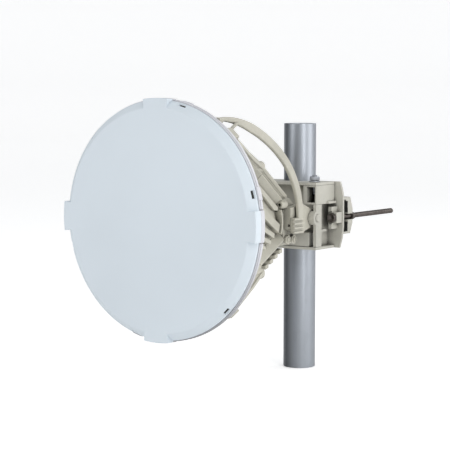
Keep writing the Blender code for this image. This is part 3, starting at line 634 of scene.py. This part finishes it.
def build_radome(sizes):
    """Radome: a plain or a tab profile by clock angle, with slots pushed in towards the axis, whose insides
    are painted black as shade.
    """
    tabs = (TAB_CLOCKS, TAB_HALF)
    slots = (SNAP_CLOCKS, 5.5)
    clocks = ring_clocks(tabs, slots)
    edge = sizes.moulding_edge / MM
    radii = (0, edge * 1.2, 0, 0, edge, 0, 0, 0.5, 0.5, 0.5, 0.5, 0)
    back = [(157.5, 12.5), (157.5, 10), (149.5, 3), (20, 3)]
    plain = rounded([(20, 0), (150.5, 0), (156.9, 5.76), (157.2, 6.03), (160.5, 9), (160.5, 9.9),
                     (160.5, 10.2), (160.5, 12.5), *back], radii)
    raised = rounded([(20, 0), (156, 0), (158.5, 0), (158.8, 0), (163, 0), (163, 9.9), (163, 10.2),
                      (163, 12.5), *back], radii)
    grid = dish_outline(plain, raised, clocks, tabs)
    pocket = np.zeros(len(plain), bool)
    pocket[7:13] = True
    slot = inside(clocks, *slots)
    grid[..., 0] -= pocket[:, None] * slot[None] * sizes.snap_slot / MM
    # The faces inside the slots take black as painted shade.
    within = (slot > 0.99) & (np.roll(slot, -1) > 0.99)
    dark = (pocket[:-1] & pocket[1:])[:, None] & within[None]
    surface = about_dish(grid[..., 0], clocks[None], grid[..., 1])
    place(crease(solid("radome_moulding", [surface], marked=dark)), "radome", "radome", second="nylon")


def build_rim():
    """Rim: a grooved ring that rises to lugs and pads, with a scored line at each end of a pad."""
    def section(outer, groove):
        return rounded([(154.5, 12.8), (outer, 12.8), (outer, 14.1), (groove, 14.7), (groove, 15.9),
                        (outer, 16.5), (outer, RIM_BACK), (154.5, RIM_BACK)],
                       (0.3, 0.5, 0.4, 0.4, 0.4, 0.4, 0.8, 0.3), 3)
    pads = (TAB_CLOCKS, TAB_HALF)
    lugs = (SNAP_CLOCKS, 8.5)
    scores = (np.concatenate((TAB_CLOCKS - 7.62, TAB_CLOCKS + 7.62)), 0.5)
    clocks = ring_clocks(pads, lugs, scores)
    plain = section(RIM_RADIUS, 160.6)
    grid = dish_outline(plain, section(163, 162.5), clocks, pads, lugs)
    outer = (plain[:, 0] > 158)[:, None]
    grid[..., 0] -= outer * inside(clocks, *scores)[None] * 1.2
    made = solid("rim_ring", [about_dish(grid[..., 0], clocks[None], grid[..., 1])], rings=(0,))
    place(crease(made), "rim", "reflector_rim")


def build_reflector():
    """Paraboloid depth = lip + (R^2 - r^2) / (4 focus), with a 2 mm wall and a rolled lip, and its feed."""
    focus, lip, radius, bore = 75.0, 15.5, 154.2, 12.0
    r = np.linspace(bore, radius, 40)
    front = np.stack((r, lip + (radius ** 2 - r ** 2) / (4 * focus)), 1)
    back = np.stack((r[::-1], front[::-1, 1] + 2), 1)
    bowl = dish_turned(np.concatenate((front, [(radius, lip + 1)], back)), 160)
    place(crease(solid("reflector_bowl", [bowl], rings=(0,))), "aluminium", "reflector")
    vertex = lip + radius ** 2 / (4 * focus)
    focal = vertex - focus
    stem = rounded([(0.5, 99.7), (18, 99.7), (18, vertex + 2.3), (11.7, vertex + 2.3), (11.7, vertex - 6),
                    (7, vertex - 10), (7, focal + 9), (20, focal + 1), (20, focal - 2), (0.5, focal - 4)],
                   (0, 0.6, 0.3, 0, 0.6, 1, 2, 0.4, 0.6, 0), 3)
    place(crease(solid("feed_waveguide", [dish_turned(stem, 48)])), "aluminium", "feed_horn")


# Radio housing

def housing_ring(depth, inset, corner):
    """Cut rectangle of the housing at a depth, an inset inside its outline."""
    wide, top, low = half_width(depth) - inset, half_height(depth) - inset, inset - half_height(depth, -1)
    x = np.array((wide, wide - corner, corner - wide, -wide, -wide, corner - wide, wide - corner, wide))
    z = np.array((top - corner, top, top, top - corner, corner + low, low, low, corner + low))
    return xyz(x, FRONT_Y + depth, HOUSING_Z + z)


def build_housing(sizes):
    """Housing: a cut rectangle that narrows in a straight taper, with a lid line near its front."""
    corner = RIDGE_HALF * math.sqrt(2)
    groove = FIN_HEIGHT + 1.2
    stations = ((HOUSING_FRONT, FIN_HEIGHT), (102.6, FIN_HEIGHT), (103.2, groove), (103.9, groove),
                (104.5, FIN_HEIGHT), (HOUSING_BACK, FIN_HEIGHT))
    body = np.stack([housing_ring(depth, inset, corner) for depth, inset in stations])
    place(soften(solid("housing_casting", [body]), sizes.casting_edge, 2), "casting", "radio_housing")


def mirrored(half):
    """Section from its half, each point (outward, across) followed back by (outward, -across)."""
    return np.array(half + [(outward, -across) for outward, across in half[::-1]])


def grooved(inner):
    """Section of a leg, (outward, across), with a groove along each side and cut outer edges."""
    side = -RIDGE_HALF
    return mirrored([(inner, side), (-6.5, side), (-5.9, side + 2.5), (-2.1, side + 2.5), (-1.5, side),
                     (1, side), (2.5, side + 1.5)])


def railed(inner):
    """Section of an upper ridge: a flat foot with a rail on it."""
    side = -RIDGE_HALF
    return mirrored([(inner, side), (-8, side), (-7, side + 1), (-7, -2.5), (-2.7, -2.5), (-2.7, -3.5),
                     (1.8, -3.5), (2.8, -2.5)])


def screw_boss(name, node, spot, bore, radius, floor, front, back, edges, steps):
    """Post turned about a line along Y, with a blind bore in its front end."""
    profile = rounded([(0.5, floor), (bore, floor), (bore, front), (radius, front), (radius, back),
                       (0.5, back)], (0, 0, 0.4, *edges, 0), 3)
    place(crease(solid(name, [turned(profile, "Y", spot, steps)])), "casting", node)


def build_leg(word, sizes):
    """Leg: a grooved section that deepens from the rim to the boss, with a foot and a bored boss."""
    signs = CORNERS[word]
    node = "corner_leg_" + word
    slender, deep = grooved(-13.5), grooved(SEAT)
    ahead = from_leg_line(signs, HOUSING_FRONT, deep[:, 0], deep[:, 1])
    ahead[[0, -1]] = from_corner(signs, HOUSING_FRONT, deep[[0, -1], 0], deep[[0, -1], 1])
    body = np.stack([from_leg_line(signs, 31, slender[:, 0], slender[:, 1]), ahead]
                    + [from_corner(signs, depth, deep[:, 0], deep[:, 1]) for depth in (TAPER_DEPTH, LEG_END)])
    side = [(20.8, 153), (20.8, 160.5), (34, 160.5), (34, 147), (28, 147)]
    spin = at_clock(signs[0] * (42 if signs[1] > 0 else 138))
    foot = slab(side, -8.5, 8.5, lambda depth, radius, across: spin(across, radius, depth))
    place(soften(solid("leg_" + word, [body, foot]), sizes.casting_edge), "casting", node)
    centre = from_leg_line(signs, BOSS_DEPTH, -6.5, 0)[[0, 2]]
    screw_boss("leg_boss_" + word, node, centre, 3, 7.5, -218, -226, -201.9, (1.1, 1.1), 32)


def build_ridge(word, sizes):
    """Ridge: a straight bar along the housing's corner, with a rail and a screw boss on the upper ones."""
    signs = CORNERS[word]
    node = "corner_ridge_" + word
    upper = signs[1] > 0
    section = railed(SEAT) if upper else mirrored([(SEAT, -RIDGE_HALF), (-9.5, -RIDGE_HALF), (-8, -6.5)])
    body = np.stack([from_corner(signs, depth, section[:, 0], section[:, 1])
                     for depth in (LEG_END + 0.6, HOUSING_BACK)])
    place(soften(solid("ridge_" + word, [body]), sizes.casting_edge * 0.6), "casting", node)
    if upper:
        spot = (signs[0] * 44, 255)
        screw_boss("ridge_boss_" + word, node, spot, 2.4, 5.5, -116, -121, -106.5, (1, 0.6), 28)


def build_side_fins(word, sizes):
    """Side: tapered bars on a thin base, a broad panel, and a curved collar."""
    flank = on_flank(word)
    floor = 3 - FIN_HEIGHT
    base = [(FIN_FRONT, 69), (FIN_FRONT, -60), (240, -24), (240, 5)]
    panel = [(FIN_FRONT, 69), (224, 12.5), (224, 7), (209, 9), (155, 36.5), (FIN_FRONT, 61)]
    grids = [slab(base, FIN_ROOT, floor, flank), slab(panel, floor - 1, -3, flank)]
    bars = ((34, (226, -19), 13), (5, (205, -27.5), 7), (-12, (190.7, -35.4), 6), (-28, (168, -41), 5))
    grids += [slab(ribbon([(FIN_FRONT, near), far], width), floor - 1, -1, flank)
              for near, far, width in bars]
    grids.append(slab(ribbon(arc((205, -10.5), 27.25, -35, 41), 5.5), floor - 1.3, 2, flank))
    place(soften(solid("side_ribs_" + word, grids), sizes.fin_edge), "casting", "side_fins_" + word)


def build_cross_fins(sizes):
    """Seven thin fins on top, and five that step up under the housing on a keel."""
    top = on_flank("top")
    base = [(FIN_FRONT, 57), (FIN_FRONT, -57), (240, -20), (240, 20)]
    grids = [slab(base, FIN_ROOT, 3 - FIN_HEIGHT, top)]
    grids += [slab(ribbon([(107, across), (238, across / 3)], 3.5), 2 - FIN_HEIGHT, -1.5, top)
              for across in 17 * np.arange(-3, 4)]
    place(soften(solid("top_cooling_fins", grids), sizes.fin_edge), "casting", "top_fins")
    under = on_flank("bottom")
    grids = [slab([(FIN_FRONT, 35), (FIN_FRONT, -35), (243, -14), (243, 14)], FIN_ROOT, 2, under)]
    for front in 159 + 19 * np.arange(5):
        back = front + 8
        reach = half_width(back) - 3
        step = [(front, reach), (front, -reach), (back, -reach), (back, reach)]
        grids.append(slab(step, 0.3, 6.5, under))
    place(soften(solid("stepped_fins", grids), sizes.fin_edge), "casting", "bottom_fins")


def build_hub(sizes):
    """Hub: a block with cut corners and a groove round it, whose top slopes down, and two hexagon plugs."""
    def ring(depth, half, top, corner=8):
        inner, upper, lower = half - corner, top - corner, 194.0
        x = np.array((half, inner, -inner, -half, -half, -inner, inner, half))
        z = np.array((upper, top, top, upper, lower + corner, lower, lower, lower + corner))
        return xyz(x, FRONT_Y + depth, z)
    stations = ((245.3, 40, 268), (255.4, 40, 265.7), (256.2, 39.2, 264.7), (257.8, 39.2, 264.4),
                (258.6, 40, 265), (272, 40, 262))
    body = np.stack([ring(*station) for station in stations])
    place(soften(solid("hub_casting", [body]), sizes.casting_edge), "casting", "hub_block")
    for number, y in (("1", -98), ("2", -83.5)):
        plug = turned([(0.5, 40.3), (6.4, 40.3), (7, 40.9), (7, 44.3), (6.2, 45), (4, 45), (3.8, 46.5),
                       (3.2, 46.5), (3, 45.6), (0.5, 45.6)], "X", (y, 203), 48, flats=12)
        place(crease(solid("port_plug_" + number, [plug])), "casting", "port_cap_" + number)


def build_arms(sizes):
    """Tilt arm: a flat plate with a round end and a bore for the pin."""
    for word in SIDES:
        node = "tilt_arm_" + word
        place(softened_copy(node, "arm_casting_" + word, sizes.casting_edge), "casting", node)


def build_arch(sizes):
    """Arch: a rounded bar carried along two joined cubic curves, its foot and brace, and a ribbed lug."""
    foot_x, foot_y, foot_z = 88.3, -329.2, 379.8
    top = bezier([(foot_x, foot_y, foot_z), (83, -270, 385), (66, -162, 348), (61, -120, 305.7)], 42)
    drop = bezier([(61, -120, 305.7), (60, -106, 290), (57.5, -86.5, 266), (56.2, -87, 234)], 21)
    path = np.concatenate((top, drop[1:]))
    tall = np.minimum(2.2 + 0.7 * np.arange(len(path)) / 3, 6.2)
    outline = rounded([(1, 1), (-1, 1), (-1, -1), (1, -1)], 0.5, 3)
    section = outline[None] * np.stack((np.full(len(path), 3.2), tall), 1)[:, None]
    bar = carried(path, section)
    bar[0, :, 1] = foot_y
    bar[-1, :, 2] = 234.5
    place(crease(solid("arch_bar", [bar]), 60), "casting", "arch_rib")
    spin = at_clock(math.degrees(math.atan2(foot_x, foot_z - DISH_Z)))
    foot = slab([(-5, 156), (5, 156), (5, 161.8), (-5, 161.8)], 20.8, 26.8, spin)
    square = 2.3 * np.array(((1, 1), (-1, 1), (-1, -1), (1, -1)))
    start = at_clock(42)(square[:, 0] - 8, square[:, 1] + 158, 34.3)
    end = xyz(82 + square[:, 0], -276.0, 376 + square[:, 1])
    ribs = [block((52.3, -104.6, 213.4), (57.8, -80.6, 235.5))]
    ribs += [block((56, -105, low), (60, -80, low + 3.2)) for low in 213 + 6.3 * np.arange(4)]
    made = soften(solid("arch_feet", [foot, np.stack((start, end)), *ribs]), sizes.fin_edge * 0.8)
    place(made, "casting", "arch_rib")


# Clamp

def build_clamp(sizes):
    """Clamp's castings and plates, each with rounded edges."""
    names = {"clamp_saddle": "saddle_casting", "clamp_top_plate": "top_plate",
             "clamp_bottom_plate": "bottom_plate", "clamp_shelf": "front_box", "clamp_jaw": "jaw_casting",
             "side_box_right": "box_right", "side_box_left": "box_left",
             "pivot_cheek_right": "cheek_right", "pivot_cheek_left": "cheek_left"}
    for node, name in names.items():
        place(softened_copy(node, name, sizes.clamp_edge), "clamp", node)


def build_jaw_shade_pads():
    """Black pads on the jaw's front face, above and below each bolt, as painted shade: a profile of teeth
    carried across.
    """
    pitch = 2.4
    for word, side in SIDES.items():
        grids = []
        for low, count in ((209.0, 6), (237.8, 7)):
            z = low + pitch / 2 * np.arange(2 * count + 1)
            teeth = np.stack((np.where(np.arange(len(z)) % 2, 12.4, 13.2), z), 1)
            outline = np.concatenate((teeth, [(13.9, z[-1]), (13.9, z[0])]))
            grids.append(slab(outline, side * 28.5, side * 76.4, partial(on_axis, "X")))
        place(crease(solid("jaw_pads_" + word, grids)), "nylon")


def threaded(axis, spot, start, end, tip, sizes):
    """Thread r = crest - depth * (1 - triangle wave of height / pitch - u / turn), chamfered at its tip."""
    pitch = sizes.thread_pitch / MM
    u = np.linspace(0, math.tau, 28, endpoint=False)[None]
    height = np.arange(start, end, pitch / 6)[:, None]
    wave = np.abs(np.mod(height / pitch - u / math.tau, 1) * 2 - 1)
    crest = np.minimum(4, 3.4 + np.maximum(0, tip - height))
    r = crest - sizes.thread_depth / MM * (1 - wave)
    return on_axis(axis, spot[0] + r * np.cos(u), spot[1] + r * np.sin(u), height)


def washer(axis, spot, low):
    """Flat ring, 1.6 mm thick, with rounded edges."""
    profile = rounded([(4.4, low), (8, low), (8, low + 1.6), (4.4, low + 1.6)], 0.3, 2)
    return turned(profile, axis, spot, 40)


def nut(axis, spot, low, bore):
    """Hexagon ring with both ends chamfered, outside and in the bore."""
    profile = np.array([(bore, 0.4), (4.9, 0), (6.2, 0), (7.6, 0.9), (7.6, 5.6), (6.2, 6.5), (4.9, 6.5),
                        (bore, 6.1)])
    return turned(profile + (0, low), axis, spot, 48, HEX_FLATS)


def build_clamp_hardware(sizes):
    """Long bolts and the top plate's studs with their washers and nuts, and the pivot pins."""
    for word, side in SIDES.items():
        bolt = (side * BOLT_X, BOLT_Z)
        stud = (side * STUD_X, STUD_Y)
        head = turned([(0.5, -17.6), (2.6, -18.2), (5.6, -20.6), (6.2, -20.6), (7.6, -19.7), (7.6, -15.3),
                       (0.5, -15.3)], "Y", bolt, 48, HEX_FLATS)
        rod = threaded("Y", bolt, -15.4, 159, 159.2, sizes)
        place(crease(solid("bolt_" + word, [rod, head]), 40), "zinc", "clamp_bolt_" + word)
        rings = (("washer_", washer("Y", bolt, 30.3), "zinc", "clamp_washer_"),
                 ("nut_", nut("Y", bolt, 32.2, 4.3), "zinc", "clamp_nut_"),
                 ("top_ring_", washer("Z", stud, 284.3), "bright", "top_washer_"))
        for name, grid, finish, node in rings:
            place(crease(solid(name + word, [grid], rings=(0,))), finish, node + word)
        grids = [threaded("Z", stud, 266, 294.6, 294.6, sizes), nut("Z", stud, 286.2, 3.5)]
        place(crease(solid("top_stud_" + word, grids, rings=(1,)), 40), "bright", "top_bolt_" + word)
        pin = rounded([(0.5, 34.7), (6.5, 34.7), (6.5, 39.7), (4, 39.7), (4, 62.9), (6, 62.9), (5, 65.5),
                       (0.5, 65.5)], (0, 0.6, 0.6, 0, 0, 0.3, 1.2, 0))
        made = solid("pin_" + word, [turned(pin * (1, side), "X", (TILT_Y, TILT_Z), 40)])
        place(crease(made), "clamp", "pivot_pin_" + word)


def build_pole():
    """Pole: a tube of 48.3 mm with a 3.2 mm wall and softened ends."""
    outer, bore, end = 24.15, 20.95, 370.0
    profile = rounded([(1, 0), (outer, 0), (outer, end), (bore, end), (bore, 4), (1, 4)],
                      (0, 0.8, 0.9, 0.9, 1.5, 0))
    place(crease(solid("pole_tube", [turned(profile, "Z", (0, 0), 128)])), "tube", "mast_pole")


# Stage

FLOOR_GLOW = 0.42
GLOW_ON_ANTENNA = 0.2
SKY = 0.56
# Each light's place, width and height in metres, and its power in watts.
LIGHTS = (
    ("key_light", (2.1, -1.1, 1.7), (1.2, 1.2), 14.5),
    ("back_light", (0.9, 2.1, 1.5), (1.2, 1.2), 9.0),
    ("front_fill", (-1.0, -2.6, 1.2), (1.6, 1.6), 17.0),
    ("side_fill", (2.4, 0.9, 0.6), (1.6, 1.1), 7.5),
    ("strip_light", (0.509, -0.282, 0.36), (0.06, 0.72), 0.5),
)
LIT_SPOT = Vector((0, -0.18, 0.24))
CAMERA_SPOT = (1.21759, -1.86438, 0.40817)
CAMERA_LINE = Vector((-0.58654, 0.80531, -0.08627))


def turned_towards(line):
    """Turn that makes a light or camera look along a line."""
    return line.to_track_quat("-Z", "Y").to_euler()


def build_floor():
    """Floor turned about Z from a profile in metres, which bends up into a low round wall."""
    profile = np.array([(0.01, 0), (2, 0), (5, 0), (7, 0), (8, 0.12), (8.6, 0.5), (8.9, 1.1), (9, 1.9),
                        (9, 3.6)])
    drop, steps = 0.0005, 96
    rows = turned(profile - (0, drop), "Z", (0, 0), steps)
    mesh = bpy.data.meshes.new("studio_floor")
    mesh.from_pydata(rows.reshape(-1, 3).tolist(), [], faces_of(len(profile), steps, 0, False)[:-1])
    mesh.shade_smooth()
    paper = bpy.data.materials.new("white_studio_floor")
    paper.use_nodes = True
    tree = paper.node_tree
    # The paper is lit from below where it lies behind the antenna, and fades to the front left. Only a
    # fifth of that light reaches the antenna, whose lower edges would lose their shade.
    where = add(tree, "TexCoord", out="Object")
    across = add(tree, "VectorMath", {0: where, 1: (0.709, 0.705, 0)}, "Value", operation="DOT_PRODUCT")
    glow = add(tree, "MapRange", {"Value": across, "From Min": -3.4, "From Max": -0.5, "To Max": FLOOR_GLOW},
               interpolation_type="SMOOTHSTEP")
    seen = add(tree, "LightPath", out="Is Camera Ray")
    part = add(tree, "MapRange", {"Value": seen, "To Min": GLOW_ON_ANTENNA})
    shown = add(tree, "Math", {0: glow, 1: part}, operation="MULTIPLY")
    feed(tree, tree.nodes["Principled BSDF"], {
        "Base Color": (0.93, 0.93, 0.93, 1), "Roughness": 0.9, "Emission Color": (1, 1, 1, 1),
        "Emission Strength": shown})
    mesh.materials.append(paper)
    into_scene("studio_floor", mesh)


def build_lights():
    """Pale sky, and soft lights that face the antenna."""
    sky = bpy.data.worlds.new("studio")
    bpy.context.scene.world = sky
    sky.use_nodes = True
    background = sky.node_tree.nodes["Background"]
    feed(sky.node_tree, background, {"Color": (0.97, 0.985, 1.0, 1), "Strength": SKY})
    for name, spot, (wide, tall), power in LIGHTS:
        lamp = bpy.data.lights.new(name, "AREA")
        lamp.shape = "RECTANGLE"
        lamp.size, lamp.size_y, lamp.energy = wide, tall, power
        holder = into_scene(name, lamp)
        holder.location = spot
        holder.rotation_euler = turned_towards(LIT_SPOT - Vector(spot))
        holder.visible_camera = False


def build_camera():
    """Camera at the photo's angle and distance."""
    lens = bpy.data.cameras.new("photo_camera")
    lens.lens = 117.6
    lens.sensor_width = 36
    lens.clip_end = 100
    camera = into_scene("photo_camera", lens)
    camera.location = CAMERA_SPOT
    camera.rotation_euler = turned_towards(CAMERA_LINE)
    bpy.context.scene.camera = camera
    bpy.context.scene.view_settings.view_transform = "Standard"


# Operators

class ANTENNA_OT_finishes(bpy.types.Operator):
    """Make the finishes that the pieces take"""
    bl_idname = "antenna.finishes"
    bl_label = "Finishes"

    def execute(self, context):
        moulded_asa()
        white_enamel()
        powder_coat("casting", dust_and_shade="#4A4840", sand=5, reach=8, closed=0.3)
        powder_coat("clamp", dust_and_shade="#4C4A45", sand=6, reach=7, closed=0.39)
        zinc_plate("zinc")
        zinc_plate("bright")
        galvanised_tube()
        spun_aluminium()
        black_nylon()
        return {"FINISHED"}


class ANTENNA_OT_dish(bpy.types.Operator):
    """Make the radome, the rim, the reflector and its feed"""
    bl_idname = "antenna.dish"
    bl_label = "Dish"

    def execute(self, context):
        build_radome(context.scene.antenna_sizes)
        build_rim()
        build_reflector()
        return {"FINISHED"}


class ANTENNA_OT_housing(bpy.types.Operator):
    """Make the radio housing with its fins"""
    bl_idname = "antenna.housing"
    bl_label = "Radio Housing"

    def execute(self, context):
        sizes = context.scene.antenna_sizes
        build_housing(sizes)
        for word in SIDES:
            build_side_fins(word, sizes)
        build_cross_fins(sizes)
        return {"FINISHED"}


class ANTENNA_OT_corners(bpy.types.Operator):
    """Make the four legs and the ridges behind them"""
    bl_idname = "antenna.corners"
    bl_label = "Legs and Ridges"

    def execute(self, context):
        sizes = context.scene.antenna_sizes
        for word in CORNERS:
            build_leg(word, sizes)
            build_ridge(word, sizes)
        return {"FINISHED"}


class ANTENNA_OT_mounting(bpy.types.Operator):
    """Make the hub, the tilt arms and the arch"""
    bl_idname = "antenna.mounting"
    bl_label = "Hub, Arms and Arch"

    def execute(self, context):
        sizes = context.scene.antenna_sizes
        build_hub(sizes)
        build_arms(sizes)
        build_arch(sizes)
        return {"FINISHED"}


class ANTENNA_OT_clamp(bpy.types.Operator):
    """Make the pole clamp with its bolts, nuts, washers and pins"""
    bl_idname = "antenna.clamp"
    bl_label = "Pole Clamp"

    def execute(self, context):
        sizes = context.scene.antenna_sizes
        build_clamp(sizes)
        build_jaw_shade_pads()
        build_clamp_hardware(sizes)
        return {"FINISHED"}


class ANTENNA_OT_pole(bpy.types.Operator):
    """Make the galvanised pole"""
    bl_idname = "antenna.pole"
    bl_label = "Pole"

    def execute(self, context):
        build_pole()
        return {"FINISHED"}


class ANTENNA_OT_stage(bpy.types.Operator):
    """Make the floor, the lights and the camera"""
    bl_idname = "antenna.stage"
    bl_label = "Stage"

    def execute(self, context):
        build_floor()
        build_lights()
        build_camera()
        return {"FINISHED"}


STEPS = (ANTENNA_OT_finishes, ANTENNA_OT_dish, ANTENNA_OT_housing, ANTENNA_OT_corners, ANTENNA_OT_mounting,
         ANTENNA_OT_clamp, ANTENNA_OT_pole, ANTENNA_OT_stage)


class ANTENNA_PT_sidebar(bpy.types.Panel):
    """Sizes, colours and steps of the dish antenna"""
    bl_idname = "ANTENNA_PT_sidebar"
    bl_label = "Dish Antenna"
    bl_space_type = "VIEW_3D"
    bl_region_type = "UI"
    bl_category = "Dish Antenna"

    def draw(self, context):
        for group in (context.scene.antenna_sizes, context.scene.antenna_colours):
            for name in group.bl_rna.properties.keys():
                if name not in ("rna_type", "name"):
                    self.layout.prop(group, name)
        for step in STEPS:
            self.layout.operator(step.bl_idname)


CLASSES = (AntennaSizes, AntennaColours, *STEPS, ANTENNA_PT_sidebar)


def register():
    for cls in CLASSES:
        bpy.utils.register_class(cls)
    bpy.types.Scene.antenna_sizes = PointerProperty(type=AntennaSizes)
    bpy.types.Scene.antenna_colours = PointerProperty(type=AntennaColours)


def unregister():
    del bpy.types.Scene.antenna_colours
    del bpy.types.Scene.antenna_sizes
    for cls in reversed(CLASSES):
        bpy.utils.unregister_class(cls)


def main():
    register()
    for step in STEPS:
        group, name = step.bl_idname.split(".")
        getattr(getattr(bpy.ops, group), name)()


if __name__ == "__main__":
    main()
